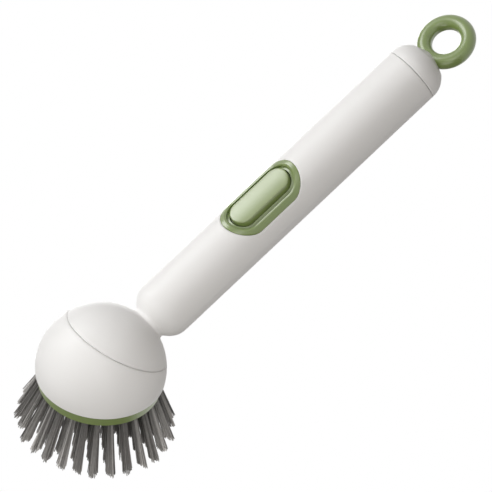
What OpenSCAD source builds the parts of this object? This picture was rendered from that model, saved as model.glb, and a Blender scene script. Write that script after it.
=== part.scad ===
// Soap-dispensing dish wand, hanging from its ring, in millimetres.
// +Z runs up the handle, the button faces -Y, and the origin is the centre of the ring's hole.
// Places along the handle are measured from the centre of the ball head, up its axis.

/* [Ball head] */
// Radius of the ball
ball_r = 32.5; // [30:0.5:36]
// Wall of the ball's two shells
ball_wall = 2.4; // [2:0.1:3]
// Angle between the brush's axis and the handle's axis
brush_tilt = 60; // [50:1:70]
// Angle between the twist seam's axis and the handle's axis
seam_tilt = 30; // [25:1:35]
// Distance of the twist seam from the ball's centre
seam_height = 17; // [15:0.5:19]
// Distance of the ball's lower rim below its centre
rim_drop = 4.2; // [4:0.2:8]
// Gap that shows along the twist seam
seam_gap = 0.3; // [0.2:0.05:0.5]

/* [Brush] */
// Height of the green brush plate
plate_h = 6.5; // [4.6:0.1:7]
// How far the plate's lower band lies inside the ball's radius
plate_inset = 2; // [1:0.1:2.5]
// How far the thin lip under the ball's rim lies inside the ball's radius
lip_inset = 0.9; // [0.5:0.1:1.1]
// Thickness of that lip
lip_h = 0.9; // [0.6:0.1:1.5]
// Depth that each tuft is set into the plate
tuft_seat = 3; // [2:0.25:3.5]
// Radius of a tuft where it is set
tuft_root_r = 1.5; // [1.2:0.05:1.6]
// Radius of a tuft at its tip
tuft_tip_r = 2.35; // [1.8:0.05:2.6]
// Distance of the tips below the plate
bristle_drop = 27.2; // [20:0.5:32]
// Distance of the outer row's roots inside the plate's edge
row_margin = 2.5; // [2.3:0.1:3]
// Distance between rows
row_step = 5.6; // [5.2:0.1:5.8]
// Tufts in the outer row
outer_tufts = 28; // [24:1:30]
// Lean of the outer row
outer_lean = 22; // [15:1:24]
// Bore of the outlet in the middle of the plate, as a radius
outlet_r = 4.9; // [4:0.1:5.5]

/* [Handle] */
// Radius of the handle
handle_r = 15.3; // [14.5:0.1:16]
// Wall of the handle
handle_wall = 1.8; // [1.6:0.1:2.2]
// Where the straight tube begins
tube_start = 43.3; // [42:0.1:45]
// Length of the rounded end that meets the ball
low_dome_h = 13.2; // [12.6:0.1:13.8]
// Radius of that end's shoulder
shoulder_r = 11.4; // [10:0.1:12]
// Radius of the fillet in the neck
neck_fillet = 1.5; // [1:0.1:2]
// Where the reservoir's floor lies
floor_at = 36.5; // [36:0.1:38]
// Draft of the moulded handle below its grip, as loss of radius down to the neck
handle_draft = 0.1; // [0.05:0.05:0.2]
// Where the end cap's seam lies
cap_at = 212.8; // [190:0.1:230]

/* [End cap and ring] */
// Straight length of the cap above its seam
cap_land = 1.3; // [0.5:0.1:3]
// Length of the cap's dome
cap_dome_h = 13.5; // [12.5:0.1:14.5]
// Wall of the cap
cap_wall = 2; // [1.6:0.1:2.4]
// Length of the threaded plug below the seam
plug_h = 9; // [8:0.5:12]
// Radial gap between the plug and the handle's bore
plug_gap = 0.1; // [0.05:0.05:0.2]
// Radius of the ring's middle circle
ring_r = 11.4; // [11:0.1:11.45]
// Radius of the ring's round section
ring_tube_r = 3.85; // [3.5:0.05:3.9]
// Radius of the ring's hole, with its narrow land
ring_hole_r = 7.7; // [7.6:0.05:8.2]
// Distance of the ring's centre above the cap's seam
ring_above = 24.7; // [23:0.1:26]

/* [Button] */
// Place of the button's centre along the handle
button_at = 114; // [105:1:140]
// Length of the bezel
bezel_l = 46.6; // [44:0.2:50]
// Width of the bezel
bezel_w = 24.8; // [24:0.2:26]
// Width of the bezel's flange that rests on the handle
flange_w = 1.7; // [1.2:0.1:2]
// How far the bezel stands proud of the handle
bezel_proud = 0.25; // [0.1:0.05:0.5]
// Width of the bezel's rim, from its edge to its pocket
bezel_rim = 3.3; // [3:0.1:4]
// Depth of the pocket round the pad
pocket_depth = 2; // [1.5:0.1:2.2]
// Width of the pad at its foot
pad_w = 13.8; // [12:0.2:14]
// Inset of the pad's top from its foot
pad_slope = 1; // [0.5:0.1:1.5]
// Length of the pad at its foot
pad_l = 37; // [34:0.2:38]
// Height of the pad's crown above the handle's surface
pad_crown = 0.6; // [0.2:0.1:1]
// Gap round the pad
pad_gap = 0.3; // [0.2:0.05:0.4]
// Travel of the button
press_travel = 2.2; // [1.5:0.1:2.4]

/* [Pump] */
// Bore of the pump, as a radius
pump_r = 6.5; // [5.5:0.1:7]
// Wall of the pump
pump_wall = 1.5; // [1.2:0.1:2]
// Depth of the pump's chamber below the handle's axis
pump_depth = 7; // [6:0.25:8]
// Running gap round the piston and its seal
piston_gap = 0.06; // [0.03:0.01:0.1]
// Height of the piston
piston_h = 2.4; // [2.2:0.1:2.6]
// Wire of the return spring, as a diameter
wire_d = 0.7; // [0.5:0.05:0.9]
// Bore of the outlet nipples, as a radius
gallery_r = 1.8; // [1.2:0.1:2]
// Outside of the outlet nipples, as a radius
nipple_r = 3; // [2.8:0.1:3.2]
// Wall of the delivery tube
tube_wall = 1.2; // [1:0.1:1.5]

/* [Twist coupling] */
// Radius of the coupling's collar
collar_r = 21.8; // [20:0.1:21.8]
// Length of the collar below the seam
collar_h = 6.5; // [5:0.5:8]
// Radial running gap of the collar
collar_gap = 0.1; // [0.05:0.05:0.15]
// Radius of the coupling's nozzle
nozzle_r = 4.5; // [4:0.1:5]
// Length of the nozzle below the seam
nozzle_h = 11; // [9:0.5:12]

/* [Hidden] */
plate_r = ball_r - plate_inset;
lip_r = ball_r - lip_inset;
outer_row_r = plate_r - row_margin;
$fn = 96;
eps = 0.01;
far = 80;
cut = 2;
fit = 0.05;

white = [0.93, 0.93, 0.92];
green = [0.58, 0.67, 0.44];
grey = [0.42, 0.41, 0.40];
clear = [0.82, 0.85, 0.86];
silicone = [0.88, 0.88, 0.84];
black = [0.12, 0.12, 0.12];
steel = [0.7, 0.71, 0.72];

ring_at = cap_at + ring_above;
ball_in = ball_r - ball_wall;
bore_r = handle_r - handle_wall;
lip_top = -rim_drop;
plate_low = lip_top - plate_h;

// The grip is the plain cylinder between the bezel and the cap
grip_margin = 0.7;
grip_at = button_at + bezel_l / 2 + grip_margin;
low_r = handle_r - handle_draft;

// The bezel's seat in the handle's wall, as radii from the handle's axis
seat_r = handle_r - handle_wall / 2;
gasket_h = 0.35;
bezel_face = handle_r + bezel_proud;
pocket_r = bezel_face - pocket_depth;
body_l = bezel_l - 2 * flange_w;
body_w = bezel_w - 2 * flange_w;
bezel_low = 7.6;
over = handle_r + 5;

// The pad's flange lies under the bezel's floor, and the pump hangs under both
pad_flange = 1;
pad_flange_h = 1;
pad_flange_top = 9.4;
pad_top_r = handle_r + pad_crown;
pad_foot = pocket_r - 2.2;
end_gap = 0.3;
pump_plate_h = 3.3;
piston_top = 5;
stem_r = 3;
seal_r = 0.8;
valve_r = 4.2;
valve_h = 0.8;
valve_edge = 1;
stem_hole_r = 1.1;
knob_r = 1.6;
knob_h = 1.2;
port_r = 0.7;
port_at = 2.6;
coil_gap = 0.4;

tube_r = nipple_r + fit + tube_wall;
nipple_l = 7;
spigot_end = 30;
tube_low = 26.3;
pump_side = button_at - pump_r - pump_wall;
neck_gap = 0.3;
grommet_wall = 2.6;
grommet_h = 3.2;
grommet_seat = 2;
floor_round = 0.7;

plug_r = bore_r - plug_gap;
plug_wall = 2.8;
cap_groove = 2.2;
crown_wall = cap_wall + 1;
cap_round = 0.8;
cord_r = 0.8;
stem_w = 6;
stem_h = 3.4;
clip_r = 5.6;
clip_h = 1.2;
clip_gap = 0.2;
notch = 1;
ring_land = 0.4;
boss_low = cap_at + cap_land + 7.5;
tongue_low = boss_low - clip_h - 1.4;

coupling_h = 3;
head_flange_h = 3;
head_gasket_h = 0.55;
gasket_seat_w = 2;
gasket_inset = 0.3;
socket_rim = 1.8;
collar_wall = 2;
socket_r = collar_r + collar_gap;

// The nozzle's seal and galleries, and the elbow that it plugs into
socket_wall = 1.5;
socket_bore = nozzle_r + 0.35;
o_ring_r = socket_bore - piston_gap - cord_r;
groove_at = seam_height - nozzle_h + 2.4;
cross_r = 1;
cross_at = seam_height + 1.6;
nozzle_gap = 0.4;
socket_top = seam_height - 4;
pipe_wall = 2.2;
foot_w = 3.5;
foot_h = 1.4;

// The plate's plug in the shell, and the outlet valve's seat
plate_plug_h = 2;
plate_rim = 1.8;
plate_edge = 0.5;
valve_seat_h = 1.1;
valve_seat_w = 1.2;
valve_wall = 1.2;
valve_face = 1.3;
valve_proud = 0.4;
slit_l = 5;
slit_w = 0.2;

// Moves a piece from places measured at the ball's centre to the frame of the ring's hole
module wand() { translate([0, 0, -ring_at]) children(); }

// Frame of the brush: +Z from the bristles up through the ball
module brush_frame() { rotate([brush_tilt, 0, 0]) children(); }

// Frame of the twist seam: +Z from the ball's centre to the seam
module seam_frame() { rotate([seam_tilt, 0, 0]) children(); }

// Frame of the button: X across the handle, Y along it, Z outwards from its axis
module button_frame() { translate([0, 0, button_at]) rotate([90, 0, 0]) children(); }

module tube(r_out, r_in, h) {
    difference() {
        cylinder(r = r_out, h = h);
        translate([0, 0, -eps]) cylinder(r = r_in, h = h + 2 * eps);
    }
}

module torus(r, section) { rotate_extrude() translate([r, 0]) circle(section); }

// Slab with round ends, whose sides lean in by slope over its height
module pill(length, width, height, slope = 0) {
    run = (length - width) / 2;
    for (side = [-1, 1])
        translate([0, side * run, 0]) cylinder(r1 = width / 2, r2 = width / 2 - slope, h = height);
    rotate([90, 0, 0]) linear_extrude(2 * run, center = true)
        polygon([[-width / 2, 0], [width / 2, 0], [width / 2 - slope, height], [slope - width / 2, height]]);
}

// Crown radius of a domed end with a tangent shoulder arc
function crown_r(r, h, k) = (r * r - 2 * r * k + h * h) / (2 * (h - k));

// Half profile of a domed end from y = 0 to y = h, with true arcs, and a straight land below it
module dome_profile(r, h, k, land = 0) {
    big = crown_r(r, h, k);
    low = h - big;
    dir = [r - k, -low] / norm([r - k, -low]);
    intersection() {
        union() {
            translate([r - k, 0]) circle(k);
            intersection() {
                translate([0, low]) circle(big);
                polygon([[0, low], [0, h + 1], [0, low] + dir * (big + 2)]);
            }
            polygon([[0, low], [r - k, 0], [0, 0]]);
            square([r - k, k]);
            if (land > 0) translate([0, -land]) square([r, land]);
        }
        union() {
            intersection() {
                square([r + 1, h + 1]);
                translate([0, low]) circle(big);
            }
            if (land > 0) translate([0, -land]) square([r + 1, land]);
        }
    }
}

// Half profile of the handle's outside, from the ball's neck to the cap's seam
module handle_outline() {
    crown = crown_r(low_r, low_dome_h, shoulder_r);
    crown_at = tube_start - low_dome_h + crown;
    reach_ball = ball_r + neck_fillet;
    reach_dome = crown + neck_fillet;
    fillet_y = (crown_at * crown_at + reach_ball * reach_ball - reach_dome * reach_dome) / (2 * crown_at);
    fillet_x = sqrt(reach_ball * reach_ball - fillet_y * fillet_y);
    centre = [fillet_x, fillet_y];
    on_ball = centre * ball_r / reach_ball;
    on_dome = [0, crown_at] + (centre - [0, crown_at]) * crown / reach_dome;
    translate([0, tube_start]) mirror([0, 1]) dome_profile(low_r, low_dome_h, shoulder_r);
    polygon([[0, tube_start], [low_r, tube_start], [handle_r, grip_at],
             [handle_r, cap_at - seam_gap / 2], [0, cap_at - seam_gap / 2]]);
    difference() {
        polygon([[0, ball_in + 1], [on_ball.x, ball_in - 1], on_ball, centre, on_dome, [0, on_dome.y]]);
        translate(centre) circle(neck_fillet);
    }
}

// White handle, one piece with the ball's upper shell
module handle_shell() {
    inner_h = tube_start - floor_at + handle_wall;
    color(white) wand() difference() {
        union() {
            rotate_extrude() handle_outline();
            seam_frame() intersection() {
                rotate([-seam_tilt, 0, 0]) sphere(ball_r);
                translate([-far, -far, seam_height + seam_gap / 2]) cube([2 * far, 2 * far, far]);
            }
        }
        // Inside of the ball's upper shell
        sphere(ball_in);
        // Reservoir, with a rounded floor
        translate([0, 0, floor_at + inner_h]) {
            rotate_extrude() mirror([0, 1]) dome_profile(bore_r, inner_h, inner_h * floor_round);
            translate([0, 0, -eps]) cylinder(r = bore_r, h = cap_at);
        }
        // Neck passage for the delivery tube, and the seat of its grommet
        translate([0, 0, ball_in - cut]) cylinder(r = tube_r + neck_gap, h = floor_at - ball_in + 2 * cut);
        translate([0, 0, floor_at - grommet_seat])
            cylinder(r = tube_r + grommet_wall + fit, h = grommet_seat + cut);
        // Stepped opening for the button's bezel
        button_frame() {
            pill(body_l + 2 * fit, body_w + 2 * fit, over);
            difference() {
                pill(bezel_l + 2 * fit, bezel_w + 2 * fit, over);
                rotate([90, 0, 0]) cylinder(r = seat_r, h = 2 * far, center = true);
            }
        }
    }
}

// Silicone gasket under the bezel's flange
module bezel_gasket() {
    color(black) wand() button_frame() intersection() {
        difference() {
            pill(bezel_l - fit, bezel_w - fit, over);
            translate([0, 0, -eps]) pill(body_l + 2 * fit, body_w + 2 * fit, over + 2 * eps);
        }
        rotate([90, 0, 0]) difference() {
            cylinder(r = seat_r + gasket_h, h = far, center = true);
            cylinder(r = seat_r + eps, h = 2 * far, center = true);
        }
    }
}

// Green frame round the button, curved as the handle is
module button_bezel() {
    color(green) wand() button_frame() difference() {
        union() {
            intersection() {
                pill(bezel_l, bezel_w, over);
                rotate([90, 0, 0]) difference() {
                    cylinder(r = bezel_face, h = far, center = true);
                    cylinder(r = seat_r + gasket_h + eps, h = 2 * far, center = true);
                }
            }
            intersection() {
                translate([0, 0, bezel_low]) pill(body_l, body_w, handle_r);
                rotate([90, 0, 0]) cylinder(r = bezel_face, h = bezel_l, center = true);
            }
        }
        // Pocket with a curved floor
        difference() {
            pill(bezel_l - 2 * bezel_rim, bezel_w - 2 * bezel_rim, over);
            rotate([90, 0, 0]) cylinder(r = pocket_r, h = far, center = true);
        }
        // Opening for the pad, and the space of its flange below
        pill(pad_l + 2 * pad_gap, pad_w + 2 * pad_gap, over);
        pill(pad_l + 2 * pad_flange + 2 * pad_gap, pad_w + 2 * pad_flange + 2 * pad_gap,
             pad_flange_top + fit);
    }
}

// Pump chamber, hung under the bezel
module pump_body() {
    color(clear) wand() difference() {
        union() {
            button_frame() {
                translate([0, 0, bezel_low - pump_plate_h]) pill(body_l - 1, body_w - 1, pump_plate_h);
                translate([0, 0, -pump_depth - pump_wall])
                    cylinder(r = pump_r + pump_wall, h = pump_depth + pump_wall + bezel_low - pump_plate_h);
            }
            translate([0, 0, pump_side - nipple_l]) cylinder(r = nipple_r, h = nipple_l + pump_wall);
        }
        button_frame() {
            translate([0, 0, -pump_depth]) cylinder(r = pump_r, h = far);
            // Inlet: a hole for the valve's stem and a ring of ports under its disc
            translate([0, 0, -far]) cylinder(r = stem_hole_r, h = far);
            for (turn = [0 : 60 : 300])
                rotate([0, 0, turn]) translate([port_at, 0, -far]) cylinder(r = port_r, h = far);
            // Room for the pad's flange at the end of its travel
            translate([0, 0, pad_flange_top - pad_flange_h - press_travel - end_gap])
                pill(pad_l + 2 * pad_flange + 2 * pad_gap, pad_w + 2 * pad_flange + 2 * pad_gap, far);
        }
        translate([0, 0, pump_side - nipple_l - eps]) cylinder(r = gallery_r, h = nipple_l + 2 * pump_wall + cut);
    }
}

// Silicone umbrella valve in the chamber's floor
module inlet_valve() {
    color(silicone) wand() button_frame() {
        translate([0, 0, -pump_depth]) cylinder(r1 = valve_r, r2 = valve_r - valve_edge, h = valve_h);
        translate([0, 0, -pump_depth - pump_wall - knob_h]) {
            cylinder(r = stem_hole_r - fit, h = pump_wall + knob_h + 2 * fit);
            cylinder(r1 = stem_hole_r - 2 * fit, r2 = knob_r, h = knob_h - fit);
        }
    }
}

// Silicone duckbill in the pump's outlet nipple
module outlet_valve() {
    lip = 0.35;
    wall = 0.3;
    foot_l = 2;
    beak_l = 3;
    slit = 0.1;
    color(silicone) wand() translate([0, 0, pump_side]) mirror([0, 0, 1]) difference() {
        union() {
            cylinder(r = gallery_r - fit, h = foot_l);
            translate([0, 0, foot_l]) cylinder(r1 = gallery_r - fit, r2 = lip + wall, h = beak_l);
        }
        translate([0, 0, -eps]) cylinder(r1 = gallery_r - fit - wall, r2 = lip, h = foot_l + beak_l / 2);
        translate([-far, -slit / 2, beak_l]) cube([2 * far, slit, far]);
    }
}

// Point on the return spring, at a share of its length
function coil_point(share, turns, r, h) = [r * cos(360 * turns * share), r * sin(360 * turns * share), h * share];

// Compression spring between the chamber's floor and the piston
module return_spring() {
    turns = 5;
    steps = 14;
    sides = 8;
    foot = -pump_depth + valve_h + wire_d / 2 + 2 * fit;
    height = piston_top - piston_h - foot - wire_d / 2 - 2 * fit;
    coil_r = pump_r - wire_d - coil_gap;
    rings = turns * steps;
    rise = atan(height / (2 * PI * coil_r * turns));
    points = [for (i = [0 : rings], j = [0 : sides - 1])
        let (at = 360 * turns * i / rings,
             out = wire_d / 2 * cos(360 * j / sides),
             up = wire_d / 2 * sin(360 * j / sides))
        coil_point(i / rings, turns, coil_r, height)
            + [out * cos(at) + up * sin(rise) * sin(at),
               out * sin(at) - up * sin(rise) * cos(at),
               up * cos(rise)]];
    skin = [for (i = [0 : rings - 1], j = [0 : sides - 1])
        let (a = i * sides + j, b = i * sides + (j + 1) % sides)
        [a + sides, b + sides, b, a]];
    ends = [[for (j = [0 : sides - 1]) j], [for (j = [sides - 1 : -1 : 0]) rings * sides + j]];
    color(steel) wand() button_frame() translate([0, 0, foot])
        polyhedron(points, concat(skin, ends));
}

// Soft tube from the pump to the ball head, along the handle's axis
module delivery_tube() {
    color(clear) wand() translate([0, 0, tube_low])
        tube(tube_r, nipple_r + fit, pump_side - neck_gap - tube_low);
}

// Rubber grommet that seals the tube in the neck
module neck_grommet() {
    color(black) wand() translate([0, 0, floor_at - grommet_seat])
        tube(tube_r + grommet_wall, tube_r, grommet_h);
}

// Plate welded in the ball's upper shell, with the collar and the nozzle that the head twists onto
module coupling_plate() {
    color(clear) wand() difference() {
        union() {
            intersection() {
                seam_frame() translate([0, 0, seam_height + seam_gap / 2]) cylinder(r = ball_r, h = coupling_h);
                sphere(ball_in - fit);
            }
            seam_frame() {
                translate([0, 0, seam_height - collar_h]) tube(collar_r, collar_r - collar_wall, collar_h + 1);
                translate([0, 0, seam_height - nozzle_h]) cylinder(r = nozzle_r, h = nozzle_h + 1);
            }
            intersection() {
                cylinder(r = nipple_r, h = spigot_end);
                seam_frame() translate([0, 0, seam_height + 1]) cylinder(r = ball_r, h = ball_r);
            }
        }
        seam_frame() {
            translate([0, 0, seam_height - nozzle_h - eps]) cylinder(r = gallery_r, h = cross_at - seam_height + nozzle_h);
            translate([0, 0, groove_at - cord_r - 2 * fit])
                tube(nozzle_r + 1, o_ring_r - cord_r - fit, 2 * cord_r + 4 * fit);
            // Gallery from the tube's spigot to the nozzle
            translate([0, 0, cross_at]) rotate([-90, 0, 0])
                cylinder(r = cross_r, h = cross_at * tan(seam_tilt));
        }
        translate([0, 0, cross_at / cos(seam_tilt)]) cylinder(r = gallery_r, h = far);
    }
}

// Seal in the nozzle's groove
module nozzle_o_ring() {
    color(black) wand() seam_frame() translate([0, 0, groove_at]) torus(o_ring_r, cord_r);
}

// Green pad that the thumb presses
module button_pad() {
    flange_low = pad_flange_top - pad_flange_h;
    color(green) wand() button_frame() {
        translate([0, 0, flange_low]) pill(pad_l + 2 * pad_flange, pad_w + 2 * pad_flange, pad_flange_h);
        intersection() {
            union() {
                translate([0, 0, flange_low]) pill(pad_l, pad_w, pad_foot - flange_low + eps);
                translate([0, 0, pad_foot]) pill(pad_l, pad_w, pad_top_r - pad_foot, pad_slope);
            }
            rotate([90, 0, 0]) cylinder(r = pad_top_r, h = far, center = true);
        }
    }
}

// Piston under the pad
module pump_piston() {
    color(white) wand() button_frame() difference() {
        union() {
            translate([0, 0, piston_top - piston_h]) cylinder(r = pump_r - piston_gap, h = piston_h);
            translate([0, 0, piston_top - eps])
                cylinder(r = stem_r, h = pad_flange_top - pad_flange_h - piston_top + eps);
        }
        translate([0, 0, piston_top - piston_h / 2 - seal_r - fit])
            tube(pump_r + 1, pump_r - 2 * seal_r - 2 * fit, 2 * seal_r + 2 * fit);
    }
}

// Seal in the piston's groove
module piston_seal() {
    color(black) wand() button_frame() translate([0, 0, piston_top - piston_h / 2])
        torus(pump_r - piston_gap / 2 - seal_r, seal_r);
}

// Seal in the groove of the cap's plug
module cap_gasket() {
    color(black) wand() translate([0, 0, cap_at - cap_groove]) torus(bore_r - fit - cord_r, cord_r);
}

// Outside of the cap, for its dome and for the bed of the ring
module cap_outside(grow = 0) {
    rotate_extrude() translate([0, cap_at + cap_land])
        dome_profile(handle_r + grow, cap_dome_h + grow, shoulder_r + grow, cap_land - seam_gap / 2);
}

// White end cap with its threaded plug
module end_cap() {
    inner_h = cap_dome_h - crown_wall;
    color(white) wand() difference() {
        union() {
            cap_outside();
            translate([0, 0, cap_at - plug_h]) cylinder(r = plug_r, h = plug_h + 1);
        }
        // Hollow dome, with a boss under its top for the ring's clip
        difference() {
            rotate_extrude() translate([0, cap_at + cap_land])
                dome_profile(plug_r - plug_wall, inner_h, inner_h * cap_round, plug_h + cap_land + 1);
            translate([0, 0, boss_low]) cylinder(r = clip_r, h = far);
        }
        translate([0, 0, cap_at - cap_groove - cord_r - 2 * fit])
            tube(bore_r + 1, bore_r - 2 * cord_r - 3 * fit, 2 * cord_r + 4 * fit);
        // Slot for the ring's tongue
        translate([-stem_w / 2 - fit, -stem_h / 2 - fit, cap_at + cap_land])
            cube([stem_w + 2 * fit, stem_h + 2 * fit, cap_dome_h + cut]);
    }
}

// Green ring to hang the wand from, with a tongue through the cap
module hanging_ring() {
    color(green) wand() difference() {
        union() {
            difference() {
                translate([0, 0, ring_at]) rotate([90, 0, 0]) torus(ring_r, ring_tube_r);
                cap_outside(fit);
            }
            translate([-stem_w / 2, -stem_h / 2, tongue_low])
                cube([stem_w, stem_h, ring_at - ring_hole_r - ring_land - tongue_low]);
        }
        translate([0, 0, ring_at]) rotate([90, 0, 0]) cylinder(r = ring_hole_r, h = far, center = true);
        // Notches for the clip
        for (side = [-1, 1])
            translate([side * stem_w / 2 - notch, -stem_h, boss_low - clip_h - 2 * fit])
                cube([2 * notch, 2 * stem_h, clip_h + 2 * fit]);
    }
}

// Steel clip that holds the ring's tongue inside the cap
module ring_clip() {
    color(steel) wand() translate([0, 0, boss_low - clip_h - fit]) difference() {
        cylinder(r = clip_r - clip_gap, h = clip_h);
        translate([-stem_w / 2 + notch - fit, -stem_h / 2 - fit, -eps])
            cube([stem_w - 2 * notch + 2 * fit, far, far]);
    }
}

// Flat seal on the head's flange
module head_gasket() {
    color(black) wand() seam_frame()
        translate([0, 0, seam_height - seam_gap / 2 - head_gasket_h])
            tube(socket_r + gasket_seat_w - 2 * fit, socket_r + gasket_inset, head_gasket_h - fit);
}

// White lower shell of the ball, with the socket that the coupling's collar runs in
module head_shell() {
    top = seam_height - seam_gap / 2;
    color(white) wand() difference() {
        intersection() {
            union() {
                difference() {
                    sphere(ball_r);
                    sphere(ball_in);
                }
                intersection() {
                    sphere(ball_r - ball_wall / 2);
                    seam_frame() union() {
                        translate([0, 0, top - head_flange_h]) cylinder(r = ball_r, h = head_flange_h);
                        translate([0, 0, top - collar_h - 1]) cylinder(r = socket_r + socket_rim, h = collar_h + 1);
                    }
                }
            }
            seam_frame() translate([0, 0, top - far]) cylinder(r = far, h = far);
            brush_frame() translate([0, 0, lip_top]) cylinder(r = far, h = far);
        }
        seam_frame() {
            translate([0, 0, top - collar_h - cut]) cylinder(r = socket_r, h = far);
            translate([0, 0, top - head_gasket_h - fit]) cylinder(r = socket_r + gasket_seat_w, h = far);
        }
    }
}

// Radius, lean and count of one row of tufts, counted from the outside
function row_r(row) = outer_row_r - row * row_step;
function row_lean(row) = outer_lean * (1 - row / 3.5);
function row_count(row) = round(outer_tufts * row_r(row) / outer_row_r);

// Places its children at each tuft of a row, with Z along the tuft from the plate's face
module each_tuft(row) {
    n = row_count(row);
    for (i = [0 : n - 1])
        rotate([0, 0, 360 * (i + row / 2) / n]) translate([row_r(row), 0, plate_low])
            rotate([0, 180 - row_lean(row), 0]) children();
}

// Green plate that carries the tufts, set in blind holes
module brush_plate() {
    plug = sqrt(ball_in * ball_in - rim_drop * rim_drop) - 2 * fit;
    color(green) wand() brush_frame() difference() {
        union() {
            translate([0, 0, lip_top - lip_h]) cylinder(r = lip_r, h = lip_h);
            translate([0, 0, plate_low + plate_edge]) cylinder(r = plate_r, h = plate_h - plate_edge);
            translate([0, 0, plate_low]) cylinder(r1 = plate_r - plate_edge, r2 = plate_r, h = plate_edge);
            translate([0, 0, lip_top - eps]) cylinder(r = plug, h = plate_plug_h);
        }
        translate([0, 0, lip_top]) cylinder(r = plug - plate_rim, h = plate_plug_h + cut);
        translate([0, 0, plate_low - eps]) cylinder(r = outlet_r, h = far);
        translate([0, 0, lip_top - valve_seat_h]) cylinder(r = outlet_r + valve_seat_w, h = far);
        for (row = [0 : 3])
            each_tuft(row) translate([0, 0, -tuft_seat]) cylinder(r = tuft_root_r + fit, h = tuft_seat + cut);
    }
}

// Elbow that leads the soap from the coupling's nozzle to the outlet
module flow_elbow() {
    color(clear) wand() difference() {
        union() {
            seam_frame() cylinder(r = socket_bore + socket_wall, h = socket_top);
            sphere(socket_bore + socket_wall);
            brush_frame() {
                translate([0, 0, lip_top]) cylinder(r = gallery_r + pipe_wall, h = -lip_top);
                translate([0, 0, lip_top]) cylinder(r = outlet_r + foot_w, h = foot_h);
            }
        }
        seam_frame() {
            translate([0, 0, seam_height - nozzle_h - nozzle_gap]) cylinder(r = socket_bore, h = far);
            cylinder(r = gallery_r, h = far);
        }
        sphere(gallery_r);
        brush_frame() mirror([0, 0, 1]) cylinder(r = gallery_r, h = far);
        // Flat foot on the plate
        brush_frame() translate([0, 0, lip_top - far]) cylinder(r = far, h = far);
    }
}

// Silicone valve in the plate's outlet, slit across its face
module slit_valve() {
    color(silicone) wand() brush_frame() difference() {
        union() {
            translate([0, 0, lip_top - valve_seat_h + fit])
                cylinder(r = outlet_r + valve_seat_w - fit, h = valve_seat_h - 2 * fit);
            translate([0, 0, plate_low - valve_proud]) cylinder(r = outlet_r - fit, h = plate_h);
        }
        translate([0, 0, plate_low - valve_proud + valve_face]) cylinder(r = outlet_r - valve_wall, h = far);
        for (turn = [0, 90])
            rotate([0, 0, turn]) translate([-slit_l / 2, -slit_w / 2, plate_low - valve_proud - eps])
                cube([slit_l, slit_w, valve_face + 2 * eps]);
    }
}

// One row of tufts, each set in the plate and flaring to its tip
module tuft_row(row) {
    free = bristle_drop / cos(row_lean(row));
    color(grey) wand() brush_frame() each_tuft(row) {
        translate([0, 0, -tuft_seat]) cylinder(r = tuft_root_r, h = tuft_seat + eps);
        cylinder(r1 = tuft_root_r, r2 = tuft_tip_r, h = free);
    }
}

module tufts_outer() { tuft_row(0); }
module tufts_second() { tuft_row(1); }
module tufts_third() { tuft_row(2); }
module tufts_inner() { tuft_row(3); }

handle_shell();
bezel_gasket();
button_bezel();
pump_body();
inlet_valve();
outlet_valve();
return_spring();
delivery_tube();
neck_grommet();
coupling_plate();
nozzle_o_ring();
button_pad();
pump_piston();
piston_seal();
cap_gasket();
end_cap();
hanging_ring();
ring_clip();
head_gasket();
head_shell();
brush_plate();
flow_elbow();
slit_valve();
tufts_outer();
tufts_second();
tufts_third();
tufts_inner();
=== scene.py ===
"""Looks of a soap-dispensing dish wand.

It has a satin white handle and ball head, sage green fittings and grey nylon tufts. Lengths are in metres.
The wand hangs from its ring: +Z runs up the handle, the button faces -Y, and the origin is the centre of
the ring's hole.
"""

import math

import bmesh
import bpy
from mathutils import Matrix, Vector


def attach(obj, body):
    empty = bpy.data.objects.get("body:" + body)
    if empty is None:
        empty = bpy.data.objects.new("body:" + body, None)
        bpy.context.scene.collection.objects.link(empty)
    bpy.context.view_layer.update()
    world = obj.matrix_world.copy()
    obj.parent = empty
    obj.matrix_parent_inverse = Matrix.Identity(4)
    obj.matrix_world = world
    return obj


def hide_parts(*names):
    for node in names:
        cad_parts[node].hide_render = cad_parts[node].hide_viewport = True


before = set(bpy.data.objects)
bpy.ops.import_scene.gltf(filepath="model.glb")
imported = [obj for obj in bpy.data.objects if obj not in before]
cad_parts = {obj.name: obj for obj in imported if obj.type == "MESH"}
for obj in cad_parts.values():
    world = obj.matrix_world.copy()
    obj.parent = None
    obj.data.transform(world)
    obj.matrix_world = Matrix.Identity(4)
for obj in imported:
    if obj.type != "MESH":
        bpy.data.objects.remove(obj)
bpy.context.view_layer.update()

MM = 0.001

# Places on the handle's axis, tilts of the brush and of the ball's twist seam to that axis,
# the twist seam's distance from the ball's centre, and the gap that shows along both seams
BALL_CENTRE = Vector((0, 0, -237.5 * MM))
CAP_SEAM = -24.7 * MM
BRUSH_TILT = math.radians(60)
SEAM_TILT = math.radians(30)
SEAM_HEIGHT, SEAM_GAP = 17 * MM, 0.3 * MM

# The photograph's camera: a long lens, a little above the button's side
IMAGE_PIXELS = 492
LENS_PIXELS = 4000
SENSOR_MM = 36
BALL_PIXEL = (101.0, 367.3)
BALL_DISTANCE = 1.9713
HANDLE_HEADING = math.radians(43.3)
HANDLE_TILT = math.radians(-6.7)
BUTTON_ROLL = math.radians(33.0)

# Light of the room, and the floor: its half width, its level, and how white it looks to the camera
ROOM_COLOUR, ROOM_STRENGTH = (1.0, 0.935, 0.87, 1), 0.25
FLOOR_HALF, FLOOR_LEVEL = 30.0, -620 * MM
FLOOR_GLOW, FLOOR_WHITENING = 1.54, 0.6

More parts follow.
